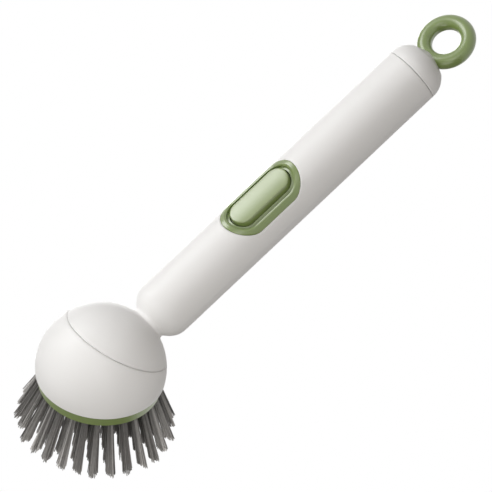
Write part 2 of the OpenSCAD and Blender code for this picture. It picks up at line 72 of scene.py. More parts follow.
# Tuft rows, from the outside in: root circle, lean and number of tufts
ROW_NODES = ("tufts_outer", "tufts_second", "tufts_third", "tufts_inner")
OUTER_ROW_R = 28 * MM
ROW_STEP = 5.6 * MM
OUTER_LEAN = math.radians(20.9)
OUTER_TUFTS = 28
PLATE_FACE = -10.7 * MM
BRISTLE_DROP = 27.2 * MM
LEANING_ROWS = 3.5

# A tuft: its radius at root and tip, its strands, and what keeps the longest strands within the drop
ROOT_R, TIP_R = 1.4 * MM, 2.5 * MM
STRANDS, STRAND_R = 46, 0.24 * MM
STRAND_POINTS, STRAND_SIDES = 5, 5
STRAND_THINNING = 0.86
ROOT_SINK, TIP_SPARE = 2 * MM, 0.75 * MM
GOLDEN_ANGLE = math.radians(137.508)
TUFT_TWIST = 1.7
FLARE_POWER, WANDER_POWER = 1.25, 2.0

# What varies from strand to strand, from lock to lock and from tuft to tuft
LOCKS_PER_TUFT = 8.0
STRAND_WANDER = 0.3 * MM
CUT_SLANT, CUT_SLOPE = 0.9, -1.4 * MM
STRAND_CUT, LOCK_CUT, TUFT_CUT = (-0.3 * MM, 0.1 * MM), (-1.3 * MM, 0.2 * MM), (-1.4 * MM, 0.4 * MM)
LEAN_SPREAD, PLACE_SPREAD = 0.022, 0.012
STRAND_TONES, LOCK_TONES = 0.22, 0.78

# The button's bezel and pad, as half runs and half widths of round-ended slabs, and radii from the handle's axis
BUTTON_Z = -123.5 * MM
BEZEL_RUN, BEZEL_HALF, BEZEL_FACE = 10.9 * MM, 12.4 * MM, 15.55 * MM
POCKET_HALF, POCKET_FLOOR = 9.1 * MM, 13.55 * MM
BODY_HALF, BODY_LOW, SEAT = 10.7 * MM, 7.6 * MM, 14.76 * MM
PAD_RUN, PAD_HALF, PAD_TOP, PAD_FOOT = 11.6 * MM, 6.9 * MM, 15.7 * MM, 11.35 * MM
PAD_GAP, FLANGE, FLANGE_LOW, FLANGE_TOP = 0.3 * MM, 1 * MM, 8.4 * MM, 9.4 * MM
PAD_CURVE, PAD_ROUND = 0.45, 0.6 * MM
EDGE_ROUND, FOOT_ROUND, CHAMFER, CHAMFER_SLOPE = 0.35 * MM, 0.1 * MM, 1.1 * MM, 0.6
SLACK, MERGE_DISTANCE = 0.05 * MM, 0.001 * MM
FACE_WIDTH = 0.8 * MM
SHARP_EDGE = math.radians(40)

# Planes where the white shells end, as a direction and a distance from the origin
SEAM_FACING = (0, -math.sin(SEAM_TILT), math.cos(SEAM_TILT))
BALL_SEAM = BALL_CENTRE.z * math.cos(SEAM_TILT) + SEAM_HEIGHT
BALL_SEAM_UPPER, BALL_SEAM_LOWER = BALL_SEAM + SEAM_GAP / 2, BALL_SEAM - SEAM_GAP / 2
CAP_END, HANDLE_END = CAP_SEAM + SEAM_GAP / 2, CAP_SEAM - SEAM_GAP / 2


def brush_matrix():
    """From the brush's own frame, with its origin at the ball's centre, to the wand's frame."""
    return Matrix.Translation(BALL_CENTRE) @ Matrix.Rotation(BRUSH_TILT, 4, "X")


# Camera

def view_axes():
    """The wand's X, Y and Z axes as the camera sees them: right, up and towards the viewer."""
    level, heading, tilt = math.cos(HANDLE_TILT), HANDLE_HEADING, math.sin(HANDLE_TILT)
    up_handle = Vector((level * math.cos(heading), level * math.sin(heading), tilt))
    across = Vector((-math.sin(heading), math.cos(heading), 0))
    facing = up_handle.cross(across)
    button_side = facing * math.cos(BUTTON_ROLL) + across * math.sin(BUTTON_ROLL)
    return up_handle.cross(button_side), -button_side, up_handle


def camera_turn():
    """Rotation that takes a direction in the camera's view to the wand's frame."""
    return Matrix(view_axes())


def make_camera():
    data = bpy.data.cameras.new("photo_camera")
    data.sensor_width = SENSOR_MM
    data.lens = SENSOR_MM * LENS_PIXELS / IMAGE_PIXELS
    data.clip_start = 0.1
    data.clip_end = 100
    half = IMAGE_PIXELS / 2
    ball_in_view = Vector((
        (BALL_PIXEL[0] - half) / LENS_PIXELS * BALL_DISTANCE,
        (half - BALL_PIXEL[1]) / LENS_PIXELS * BALL_DISTANCE,
        -BALL_DISTANCE,
    ))
    turn = camera_turn()
    place = BALL_CENTRE - turn @ ball_in_view
    camera = bpy.data.objects.new("photo_camera", data)
    camera.matrix_world = Matrix.Translation(place) @ turn.to_4x4()
    bpy.context.scene.collection.objects.link(camera)
    bpy.context.scene.camera = camera


# Light and stage

def add_lamp(name, direction, distance, radius, watts, colour=(1, 1, 1), aim=-125 * MM):
    """A soft globe. Its direction is right, up and towards in the photograph's view, from a level on the axis."""
    data = bpy.data.lights.new(name, "POINT")
    data.shadow_soft_size = radius
    data.energy = watts
    data.color = colour
    away = (camera_turn() @ Vector(direction)).normalized()
    lamp = bpy.data.objects.new(name, data)
    lamp.location = Vector((0, 0, aim)) + away * distance
    lamp.visible_camera = False
    bpy.context.scene.collection.objects.link(lamp)


def make_light():
    add_lamp("window", (-0.67, 0.72, 0.28), distance=1.3, radius=0.42, watts=33,
             colour=(0.985, 0.992, 1.0), aim=-190 * MM)
    add_lamp("front_fill", (-0.2, 0.1, 1.0), distance=1.6, radius=0.5, watts=20, colour=(1.0, 0.99, 0.975))
    add_lamp("back_fill", (-0.15, 0.20, -1.0), distance=1.6, radius=0.5, watts=26)
    add_lamp("low_fill", (0.15, -0.30, 0.95), distance=0.36, radius=0.1, watts=0.95,
             colour=(1.0, 0.985, 0.965), aim=-250 * MM)
    world = bpy.data.worlds.new("studio")
    bpy.context.scene.world = world
    world.use_nodes = True
    nodes, links = world.node_tree.nodes, world.node_tree.links
    nodes.clear()
    out = nodes.new("ShaderNodeOutputWorld")
    room = nodes.new("ShaderNodeBackground")
    room.inputs["Color"].default_value = ROOM_COLOUR
    room.inputs["Strength"].default_value = ROOM_STRENGTH
    white = nodes.new("ShaderNodeBackground")
    white.inputs["Color"].default_value = (1, 1, 1, 1)
    rays = nodes.new("ShaderNodeLightPath")
    seen = calc(world.node_tree, "MAXIMUM", rays.outputs["Is Camera Ray"], rays.outputs["Is Transmission Ray"])
    seen = calc(world.node_tree, "MAXIMUM", seen, rays.outputs["Is Glossy Ray"])
    pick = nodes.new("ShaderNodeMixShader")
    links.new(seen, pick.inputs[0])
    links.new(room.outputs[0], pick.inputs[1])
    links.new(white.outputs[0], pick.inputs[2])
    links.new(pick.outputs[0], out.inputs["Surface"])


def floor_material():
    """Pale board that keeps the shadow, reads near white to the camera, and is clear from below."""
    material = bpy.data.materials.new("pale_floor")
    material.use_nodes = True
    tree = material.node_tree
    nodes, links = tree.nodes, tree.links
    board = nodes["Principled BSDF"]
    board.inputs["Base Color"].default_value = (0.74, 0.738, 0.73, 1)
    board.inputs["Roughness"].default_value = 0.9
    glow = nodes.new("ShaderNodeEmission")
    glow.inputs["Color"].default_value = (1, 1, 1, 1)
    glow.inputs["Strength"].default_value = FLOOR_GLOW
    rays = nodes.new("ShaderNodeLightPath")
    whiten = nodes.new("ShaderNodeMixShader")
    links.new(calc(tree, "MULTIPLY", rays.outputs["Is Camera Ray"], FLOOR_WHITENING), whiten.inputs[0])
    links.new(board.outputs[0], whiten.inputs[1])
    links.new(glow.outputs[0], whiten.inputs[2])
    side = nodes.new("ShaderNodeNewGeometry")
    clear = nodes.new("ShaderNodeBsdfTransparent")
    below = nodes.new("ShaderNodeMixShader")
    links.new(calc(tree, "MULTIPLY", side.outputs["Backfacing"], rays.outputs["Is Camera Ray"]), below.inputs[0])
    links.new(whiten.outputs[0], below.inputs[1])
    links.new(clear.outputs[0], below.inputs[2])
    links.new(below.outputs[0], nodes["Material Output"].inputs["Surface"])
    return material


def make_floor():
    """A plain pale floor well below the hanging wand, out of the photograph's view."""
    mesh = bpy.data.meshes.new("floor")
    corners = [(x * FLOOR_HALF, y * FLOOR_HALF, FLOOR_LEVEL) for x, y in ((-1, -1), (1, -1), (1, 1), (-1, 1))]
    mesh.from_pydata(corners, [], [(0, 1, 2, 3)])
    floor = bpy.data.objects.new("floor", mesh)
    bpy.context.scene.collection.objects.link(floor)
    mesh.materials.append(floor_material())


# Node helpers, for shaders and geometry alike

def plug_in(tree, value, socket):
    """Links a socket, or sets a plain value."""
    if isinstance(value, bpy.types.NodeSocket):
        tree.links.new(value, socket)
    else:
        socket.default_value = value


def calc(tree, operation, *values):
    node = tree.nodes.new("ShaderNodeMath")
    node.operation = operation
    for value, socket in zip(values, node.inputs):
        plug_in(tree, value, socket)
    return node.outputs[0]


def vector_calc(tree, operation, a, b=None, scale=None):
    node = tree.nodes.new("ShaderNodeVectorMath")
    node.operation = operation
    plug_in(tree, a, node.inputs[0])
    if b is not None:
        plug_in(tree, b, node.inputs[1])
    if scale is not None:
        plug_in(tree, scale, node.inputs["Scale"])
    return node.outputs["Value"] if operation in ("LENGTH", "DOT_PRODUCT") else node.outputs["Vector"]


def xyz(tree, x, y, z):
    node = tree.nodes.new("ShaderNodeCombineXYZ")
    for value, socket in zip((x, y, z), node.inputs):
        plug_in(tree, value, socket)
    return node.outputs[0]


def spread(tree, value, low, high):
    """Takes 0..1 to low..high."""
    node = tree.nodes.new("ShaderNodeMapRange")
    plug_in(tree, value, node.inputs["Value"])
    plug_in(tree, low, node.inputs["To Min"])
    plug_in(tree, high, node.inputs["To Max"])
    return node.outputs["Result"]


def noise(tree, place, scale, detail=3.0, stretch=None):
    """Noise with the given number of features per metre, stretched along an axis where asked."""
    if stretch is not None:
        place = vector_calc(tree, "MULTIPLY", place, stretch)
    node = tree.nodes.new("ShaderNodeTexNoise")
    plug_in(tree, place, node.inputs["Vector"])
    node.inputs["Scale"].default_value = scale
    node.inputs["Detail"].default_value = detail
    return node.outputs["Fac"]


def object_place(tree):
    return tree.nodes.new("ShaderNodeTexCoord").outputs["Object"]


# Effects shared by the materials

def new_group(name, inputs, outputs):
    group = bpy.data.node_groups.new(name, "ShaderNodeTree")
    for label, kind, value in inputs:
        socket = group.interface.new_socket(label, in_out="INPUT", socket_type=kind)
        socket.default_value = value
    for label, kind in outputs:
        group.interface.new_socket(label, in_out="OUTPUT", socket_type=kind)
    return group, group.nodes.new("NodeGroupInput"), group.nodes.new("NodeGroupOutput")


def moulded_skin_group():
    """Moulded plastic: slow colour drift, fine spark-eroded grain, faint smudges, and a painted highlight that
    makes edges a little paler.
    """
    group, given, out = new_group(
        "moulded_skin",
        [("Colour", "NodeSocketColor", (0.8, 0.8, 0.8, 1)),
         ("Drift", "NodeSocketFloat", 0.02),
         ("Roughness", "NodeSocketFloat", 0.45),
         ("Smudge", "NodeSocketFloat", 0.06),
         ("Grain", "NodeSocketFloat", 0.1),
         ("Edge", "NodeSocketFloat", 1.0)],
        [("Colour", "NodeSocketColor"), ("Roughness", "NodeSocketFloat"), ("Normal", "NodeSocketVector")],
    )
    edge_highlight_share, edge_highlight_most, fine_roughness, grain_depth = 0.4, 0.1, 0.08, 0.02 * MM
    place = object_place(group)
    drift = noise(group, place, scale=22, detail=2)
    shade = calc(group, "MULTIPLY_ADD", calc(group, "SUBTRACT", drift, 0.5), given.outputs["Drift"], 1.0)
    # Painted highlight: the colour turns paler wherever the Edge height drops below 1, at rolled-off shell edges,
    # round the bezel's opening and in screw-thread valleys
    edge_highlight = calc(group, "MULTIPLY", calc(group, "SUBTRACT", 1.0, given.outputs["Edge"]), edge_highlight_share)
    shade = calc(group, "ADD", shade, calc(group, "MINIMUM", edge_highlight, edge_highlight_most))
    tinted = vector_calc(group, "SCALE", given.outputs["Colour"], scale=shade)
    group.links.new(tinted, out.inputs["Colour"])
    handled = noise(group, place, scale=60, detail=4, stretch=(1.0, 1.0, 0.35))
    fine = noise(group, place, scale=900, detail=2)
    mark = calc(group, "MULTIPLY", calc(group, "SUBTRACT", handled, 0.5), given.outputs["Smudge"])
    rough = calc(group, "ADD", given.outputs["Roughness"], mark)
    rough = calc(group, "MULTIPLY_ADD", calc(group, "SUBTRACT", fine, 0.5), fine_roughness, rough)
    group.links.new(rough, out.inputs["Roughness"])
    bump = group.nodes.new("ShaderNodeBump")
    bump.inputs["Distance"].default_value = grain_depth
    plug_in(group, given.outputs["Grain"], bump.inputs["Strength"])
    plug_in(group, noise(group, place, scale=3200, detail=2), bump.inputs["Height"])
    edge = group.nodes.new("ShaderNodeBump")
    edge.inputs["Distance"].default_value = MM
    plug_in(group, given.outputs["Edge"], edge.inputs["Height"])
    plug_in(group, bump.outputs[0], edge.inputs["Normal"])
    group.links.new(edge.outputs[0], out.inputs["Normal"])
    return group


def edge_roll_group():
    """Height that rolls off where a shell ends at a plane, for its rounded edge."""
    group, given, out = new_group(
        "edge_roll",
        [("Facing", "NodeSocketVector", (0, 0, 1)),
         ("Offset", "NodeSocketFloat", 0.0),
         ("Width", "NodeSocketFloat", 0.8 * MM),
         ("Depth", "NodeSocketFloat", 0.25)],
        [("Height", "NodeSocketFloat")],
    )
    along = vector_calc(group, "DOT_PRODUCT", object_place(group), given.outputs["Facing"])
    distance = calc(group, "ABSOLUTE", calc(group, "SUBTRACT", along, given.outputs["Offset"]))
    height = roll_off(group, distance, given.outputs["Width"], given.outputs["Depth"])
    group.links.new(height, out.inputs["Height"])
    return group


def roll_off(tree, distance, width, depth):
    """Height of a rounded edge in millimetres: 1 from the given width on, and less by the depth at the edge."""
    short = calc(tree, "SUBTRACT", 1.0, calc(tree, "MINIMUM", calc(tree, "DIVIDE", distance, width), 1.0))
    return calc(tree, "SUBTRACT", 1.0, calc(tree, "MULTIPLY", calc(tree, "MULTIPLY", short, short), depth))


def opening_roll_group():
    """Height that rolls off towards a round-ended opening on the button's side of the handle."""
    group, given, out = new_group(
        "opening_roll",
        [("Level", "NodeSocketFloat", BUTTON_Z), ("Run", "NodeSocketFloat", BEZEL_RUN),
         ("Half", "NodeSocketFloat", BEZEL_HALF), ("Width", "NodeSocketFloat", 0.9 * MM),
         ("Depth", "NodeSocketFloat", 0.45)],
        [("Height", "NodeSocketFloat")],
    )
    parts = group.nodes.new("ShaderNodeSeparateXYZ")
    group.links.new(object_place(group), parts.inputs[0])
    up = calc(group, "ABSOLUTE", calc(group, "SUBTRACT", parts.outputs[2], given.outputs["Level"]))
    past = calc(group, "MAXIMUM", calc(group, "SUBTRACT", up, given.outputs["Run"]), 0.0)
    reach = vector_calc(group, "LENGTH", xyz(group, parts.outputs[0], past, 0.0))
    distance = calc(group, "MAXIMUM", calc(group, "SUBTRACT", reach, given.outputs["Half"]), 0.0)
    height = roll_off(group, distance, given.outputs["Width"], given.outputs["Depth"])
    behind = calc(group, "GREATER_THAN", parts.outputs[1], 0.0)
    group.links.new(calc(group, "MAXIMUM", height, behind), out.inputs["Height"])
    return group


def thread_group():
    """Rounded screw ridges round the handle's axis below a given level, and a flat skin above it."""
    group, given, out = new_group(
        "screw_thread",
        [("Pitch", "NodeSocketFloat", 3 * MM), ("Top", "NodeSocketFloat", 0.0),
         ("Depth", "NodeSocketFloat", 0.4), ("Roundness", "NodeSocketFloat", 0.6)],
        [("Height", "NodeSocketFloat")],
    )
    parts = group.nodes.new("ShaderNodeSeparateXYZ")
    group.links.new(object_place(group), parts.inputs[0])
    turn = calc(group, "DIVIDE", calc(group, "ARCTAN2", parts.outputs[1], parts.outputs[0]), math.tau)
    climb = calc(group, "SUBTRACT", calc(group, "DIVIDE", parts.outputs[2], given.outputs["Pitch"]), turn)
    wave = calc(group, "SINE", calc(group, "MULTIPLY", climb, math.pi))
    ridge = calc(group, "POWER", calc(group, "ABSOLUTE", wave), given.outputs["Roundness"])
    below = calc(group, "LESS_THAN", parts.outputs[2], given.outputs["Top"])
    height = calc(group, "ADD", calc(group, "MULTIPLY", ridge, below), calc(group, "SUBTRACT", 1.0, below))
    bottom = calc(group, "SUBTRACT", 1.0, given.outputs["Depth"])
    height = calc(group, "MULTIPLY_ADD", height, given.outputs["Depth"], bottom)
    group.links.new(height, out.inputs["Height"])
    return group


def start_material(name):
    material = bpy.data.materials.new(name)
    material.use_nodes = True
    return material, material.node_tree, material.node_tree.nodes["Principled BSDF"]


def add_group(tree, group_tree, **values):
    group = tree.nodes.new("ShaderNodeGroup")
    group.node_tree = group_tree
    for label, value in values.items():
        group.inputs[label].default_value = value
    return group


def moulded_plastic(name, skin, colour, roughness, heights=(), **more):
    """A plastic finish from the moulded skin group. heights are groups with their values, for edges and ridges."""
    material, tree, shader = start_material(name)
    group = add_group(tree, skin)
    lowest = None
    for height_tree, values in heights:
        height = add_group(tree, height_tree, **values).outputs["Height"]
        lowest = height if lowest is None else calc(tree, "MINIMUM", lowest, height)
    if lowest is not None:
        tree.links.new(lowest, group.inputs["Edge"])
    group.inputs["Colour"].default_value = (*colour, 1)
    group.inputs["Roughness"].default_value = roughness
    for label in ("Drift", "Smudge", "Grain"):
        if label in more:
            group.inputs[label].default_value = more.pop(label)
    tree.links.new(group.outputs["Colour"], shader.inputs["Base Color"])
    tree.links.new(group.outputs["Roughness"], shader.inputs["Roughness"])
    tree.links.new(group.outputs["Normal"], shader.inputs["Normal"])
    for label, value in more.items():
        shader.inputs[label.replace("_", " ")].default_value = value
    return material


def nylon_filament():
    """Grey nylon: each strand has its own tone, and a painted shade makes it darker towards its root and a little
    paler at its tip.
    """
    material, tree, shader = start_material("grey_nylon")
    tone = tree.nodes.new("ShaderNodeAttribute")
    tone.attribute_name = "strand_tone"
    along = tree.nodes.new("ShaderNodeAttribute")
    along.attribute_name = "strand_along"
    ramp = tree.nodes.new("ShaderNodeValToRGB")
    stops = ramp.color_ramp.elements
    stops[0].position, stops[0].color = 0.0, (0.11, 0.104, 0.10, 1)
    stops[1].position, stops[1].color = 1.0, (0.80, 0.785, 0.765, 1)
    middle = stops.new(0.5)
    middle.color = (0.32, 0.31, 0.30, 1)
    streak = noise(tree, object_place(tree), scale=500, detail=2)
    streak_share = 0.2
    level = calc(tree, "MULTIPLY_ADD", calc(tree, "SUBTRACT", streak, 0.5), streak_share, tone.outputs["Fac"])
    tree.links.new(level, ramp.inputs["Fac"])
    # Painted shade: strands darken towards the plate, where the tufts shade one another
    painted_root_shade = spread(tree, along.outputs["Fac"], low=0.4, high=1.08)
    tree.links.new(vector_calc(tree, "SCALE", ramp.outputs["Color"], scale=painted_root_shade), shader.inputs["Base Color"])
    tree.links.new(spread(tree, tone.outputs["Fac"], low=0.34, high=0.5), shader.inputs["Roughness"])
    return material


def spring_steel():
    """Drawn steel wire, brushed along one way."""
    material, tree, shader = start_material("spring_steel")
    shader.inputs["Metallic"].default_value = 1.0
    brushed = noise(tree, object_place(tree), scale=700, detail=3, stretch=(1.0, 6.0, 1.0))
    tree.links.new(spread(tree, brushed, low=0.25, high=0.42), shader.inputs["Roughness"])
    ramp = tree.nodes.new("ShaderNodeValToRGB")
    ramp.color_ramp.elements[0].color = (0.42, 0.42, 0.41, 1)
    ramp.color_ramp.elements[1].color = (0.66, 0.66, 0.65, 1)
    tree.links.new(brushed, ramp.inputs["Fac"])
    tree.links.new(ramp.outputs["Color"], shader.inputs["Base Color"])
    return material


def make_materials():
    skin, roll, thread = moulded_skin_group(), edge_roll_group(), thread_group()
    opening = (opening_roll_group(), {})
    grain = 0.12
    white = {"skin": skin, "colour": (0.90, 0.897, 0.89), "roughness": 0.48, "Grain": grain}
    # These heights round the seams, the tube's and cap's ends and the bezel's opening in the bump, and through the
    # skin group also paint those edges paler as a painted highlight
    upper_seam = (roll, {"Facing": SEAM_FACING, "Offset": BALL_SEAM_UPPER, "Width": 0.5 * MM, "Depth": 0.25})
    lower_seam = (roll, {"Facing": SEAM_FACING, "Offset": BALL_SEAM_LOWER, "Width": 0.9 * MM, "Depth": 0.35})
    tube_end = (roll, {"Offset": HANDLE_END})
    cap_end = (roll, {"Offset": CAP_END})
    screw = (thread, {"Top": CAP_END - 0.6 * MM})
    return {
        "handle_white": moulded_plastic("handle_white", heights=(upper_seam, tube_end, opening), **white),
        "head_white": moulded_plastic("head_white", heights=(lower_seam,), **white),
        "cap_white": moulded_plastic("cap_white", heights=(cap_end, screw), **white),
        "green": moulded_plastic("sage_green", skin, (0.165, 0.238, 0.045), roughness=0.4, Drift=0.05, Grain=grain,
                                 Specular_IOR_Level=0.6, Coat_Weight=0.9, Coat_Roughness=0.31,
                                 Coat_IOR=1.68),
        "bezel_green": moulded_plastic("bezel_green", skin, (0.155, 0.225, 0.038), roughness=0.38,
                                       Drift=0.05, Grain=grain,
                                       Specular_IOR_Level=0.7, Coat_Weight=0.9, Coat_Roughness=0.24,
                                       Coat_IOR=1.7),
        # The pad's base colour is a paler copy of the sage green, a painted highlight for the sheen on its top; its
        # coat and sheen settings add real gloss as well
        "pad_green": moulded_plastic("pad_green", skin, (0.215, 0.285, 0.085), roughness=0.38,
                                     Drift=0.05, Grain=grain,
                                     Specular_IOR_Level=1.0, Sheen_Weight=0.2, Sheen_Roughness=0.35,
                                     Coat_Weight=0.9, Coat_Roughness=0.33, Coat_IOR=1.7),
        "clear": moulded_plastic("natural_plastic", skin, (0.82, 0.84, 0.835), roughness=0.34, Grain=0.03,
                                 Transmission_Weight=0.12),
        "silicone": moulded_plastic("milky_silicone", skin, (0.78, 0.78, 0.74), roughness=0.5, Grain=0.05,
                                    Subsurface_Weight=0.25, Subsurface_Scale=0.002),
        "rubber": moulded_plastic("black_seal", skin, (0.022, 0.022, 0.023), roughness=0.55, Grain=0.2),
        "nylon": nylon_filament(),
        "steel": spring_steel(),
    }


FINISHES = {
    "handle_white": ("handle_shell",),
    "head_white": ("head_shell",),
    "cap_white": ("end_cap",),
    "green": ("hanging_ring", "brush_plate"),
    "bezel_green": ("button_bezel",),
    "pad_green": ("button_pad",),
    "clear": ("pump_body", "coupling_plate", "pump_piston", "flow_elbow"),
    "silicone": ("inlet_valve", "outlet_valve", "delivery_tube", "slit_valve"),
    "rubber": ("bezel_gasket", "neck_grommet", "nozzle_o_ring", "piston_seal", "cap_gasket", "head_gasket"),
    "steel": ("return_spring", "ring_clip"),
    "nylon": ROW_NODES,
}


def dress_frame(materials):
    """Gives each of the frame's pieces its finish."""
    for finish, names in FINISHES.items():
        for name in names:
            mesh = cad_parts[name].data
            mesh.materials.clear()
            mesh.materials.append(materials[finish])


# Moulded pieces with soft edges

def soften(corners, closed, steps=4):
    """Rounds a profile's corners, and splits its long flats.

    A corner is half run, half width, height, share of the handle's curve, and rounding.
    """
    points = []
    for i, (*here, rounding) in enumerate(corners):
        if rounding == 0:
            points.append(tuple(here))
            continue
        before, after = corners[i - 1][:4], corners[(i + 1) % len(corners)][:4]
        ends = []
        for other in (before, after):
            share = min(rounding / math.hypot(other[1] - here[1], other[2] - here[2]), 0.5)
            ends.append([h + (o - h) * share for h, o in zip(here, other)])
        for k in range(steps + 1):
            t = k / steps
            points.append(tuple(
                (1 - t) ** 2 * a + 2 * t * (1 - t) * h + t * t * b for a, h, b in zip(ends[0], here, ends[1])
            ))
    if closed:
        points.append(points[0])
    filled = []
    for start, end in zip(points, points[1:]):
        pieces = max(1, math.ceil(abs(end[1] - start[1]) / FACE_WIDTH))
        filled += [tuple(a + (b - a) * k / pieces for a, b in zip(start, end)) for k in range(pieces)]
    return filled if closed else filled + [points[-1]]


def pill_ring(run, half, height, curve, steps=28):
    """One contour of a round-ended slab on the button's side, bent with the handle by the share in curve."""
    ring = []
    for side in (1, -1):
        for k in range(steps + 1):
            angle = math.pi * k / steps
            x = side * half * math.cos(angle)
            sag = curve * (height - math.sqrt(height * height - x * x)) if curve else 0
            ring.append((x, sag - height, side * (run + half * math.sin(angle)) + BUTTON_Z))
    return ring


def moulded_piece(name, corners, closed, material):
    """Sweeps a softened profile round a slab's contour: a frame if it's closed, and a solid pad if it isn't."""
    mesh_data = bmesh.new()
    rows = [[mesh_data.verts.new(place) for place in pill_ring(*point)] for point in soften(corners, closed)]
    for low, high in zip(rows, rows[1:] + rows[:1] if closed else rows[1:]):
        for k in range(len(low)):
            after = (k + 1) % len(low)
            mesh_data.faces.new((low[k], low[after], high[after], high[k]))
    if not closed:
        mesh_data.faces.new(rows[0])
        mesh_data.faces.new(rows[-1])
    bmesh.ops.remove_doubles(mesh_data, verts=mesh_data.verts, dist=MERGE_DISTANCE)
    bmesh.ops.recalc_face_normals(mesh_data, faces=mesh_data.faces)
    mesh = bpy.data.meshes.new(name)
    mesh_data.to_mesh(mesh)
    mesh_data.free()
    mesh.materials.append(material)
    mesh.polygons.foreach_set("use_smooth", [True] * len(mesh.polygons))
    mesh.set_sharp_from_angle(angle=SHARP_EDGE)
    piece = bpy.data.objects.new(name, mesh)
    bpy.context.scene.collection.objects.link(piece)
    return piece


def make_button(materials):
    """The frame that curves with the handle, and the pad that the thumb presses."""
    opening, flange_seat = PAD_HALF + PAD_GAP, FLANGE_TOP + SLACK
    frame_corners = [
        (BEZEL_RUN, BEZEL_HALF, SEAT, 1, 0),
        (BEZEL_RUN, BEZEL_HALF, BEZEL_FACE, 1, EDGE_ROUND),
        (BEZEL_RUN, POCKET_HALF + CHAMFER, BEZEL_FACE, 1, EDGE_ROUND / 2),
        (BEZEL_RUN, POCKET_HALF, BEZEL_FACE - CHAMFER * CHAMFER_SLOPE, 1, EDGE_ROUND / 2),
        (BEZEL_RUN, POCKET_HALF, POCKET_FLOOR, 1, EDGE_ROUND),
        (PAD_RUN, opening, POCKET_FLOOR, 1, FOOT_ROUND),
        (PAD_RUN, opening, flange_seat, 0, 0),
        (PAD_RUN, opening + FLANGE, flange_seat, 0, 0),
        (PAD_RUN, opening + FLANGE, BODY_LOW, 0, 0),
        (BEZEL_RUN, BODY_HALF, BODY_LOW, 0, 0),
        (BEZEL_RUN, BODY_HALF, SEAT, 1, 0),
    ]
    bezel = moulded_piece("bezel", frame_corners, True, materials["bezel_green"])
    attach(bezel, "handle")
    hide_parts("button_bezel")
    pad_corners = [
        (PAD_RUN, SLACK, FLANGE_LOW, 0, 0),
        (PAD_RUN, PAD_HALF + FLANGE, FLANGE_LOW, 0, 0),
        (PAD_RUN, PAD_HALF + FLANGE, FLANGE_TOP, 0, 0),
        (PAD_RUN, PAD_HALF, FLANGE_TOP, 0, 0),
        (PAD_RUN, PAD_HALF, PAD_FOOT, 0, 0),
        (PAD_RUN, PAD_HALF - PAD_ROUND, PAD_TOP, PAD_CURVE, PAD_ROUND),
        (PAD_RUN, SLACK, PAD_TOP, PAD_CURVE, 0),
    ]
    pad = moulded_piece("thumb_pad", pad_corners, False, materials["pad_green"])
    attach(pad, "button")
    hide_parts("button_pad")


# Geometry trees

def new_geometry_tree(name, inputs):
    tree = bpy.data.node_groups.new(name, "GeometryNodeTree")
    for label, kind, value in inputs:
        socket = tree.interface.new_socket(label, in_out="INPUT", socket_type=kind)
        if value is not None:
            socket.default_value = value
    tree.interface.new_socket("Geometry", in_out="OUTPUT", socket_type="NodeSocketGeometry")
    return tree, tree.nodes.new("NodeGroupInput"), tree.nodes.new("NodeGroupOutput")


def named(tree, kind, label):
    node = tree.nodes.new("GeometryNodeInputNamedAttribute")
    node.data_type = kind
    node.inputs["Name"].default_value = label
    return node.outputs["Attribute"]


def store(tree, geometry, kind, label, value):
    node = tree.nodes.new("GeometryNodeStoreNamedAttribute")
    node.data_type = kind
    node.domain = "POINT"
    node.inputs["Name"].default_value = label
    tree.links.new(geometry, node.inputs["Geometry"])
    plug_in(tree, value, node.inputs["Value"])
    return node.outputs["Geometry"]


def random_value(tree, low, high, key, seed):
    node = tree.nodes.new("FunctionNodeRandomValue")
    node.data_type = "FLOAT"
    sockets = {s.identifier: s for s in node.inputs}
    plug_in(tree, low, sockets["Min_001"])
    plug_in(tree, high, sockets["Max_001"])
    plug_in(tree, key, sockets["ID"])
    sockets["Seed"].default_value = seed
    return [s for s in node.outputs if s.identifier == "Value_001"][0]


def turned(tree, vector, axis, angle):
    node = tree.nodes.new("ShaderNodeVectorRotate")
    node.rotation_type = axis + "_AXIS"
    plug_in(tree, vector, node.inputs["Vector"])
    plug_in(tree, angle, node.inputs["Angle"])
    return node.outputs[0]


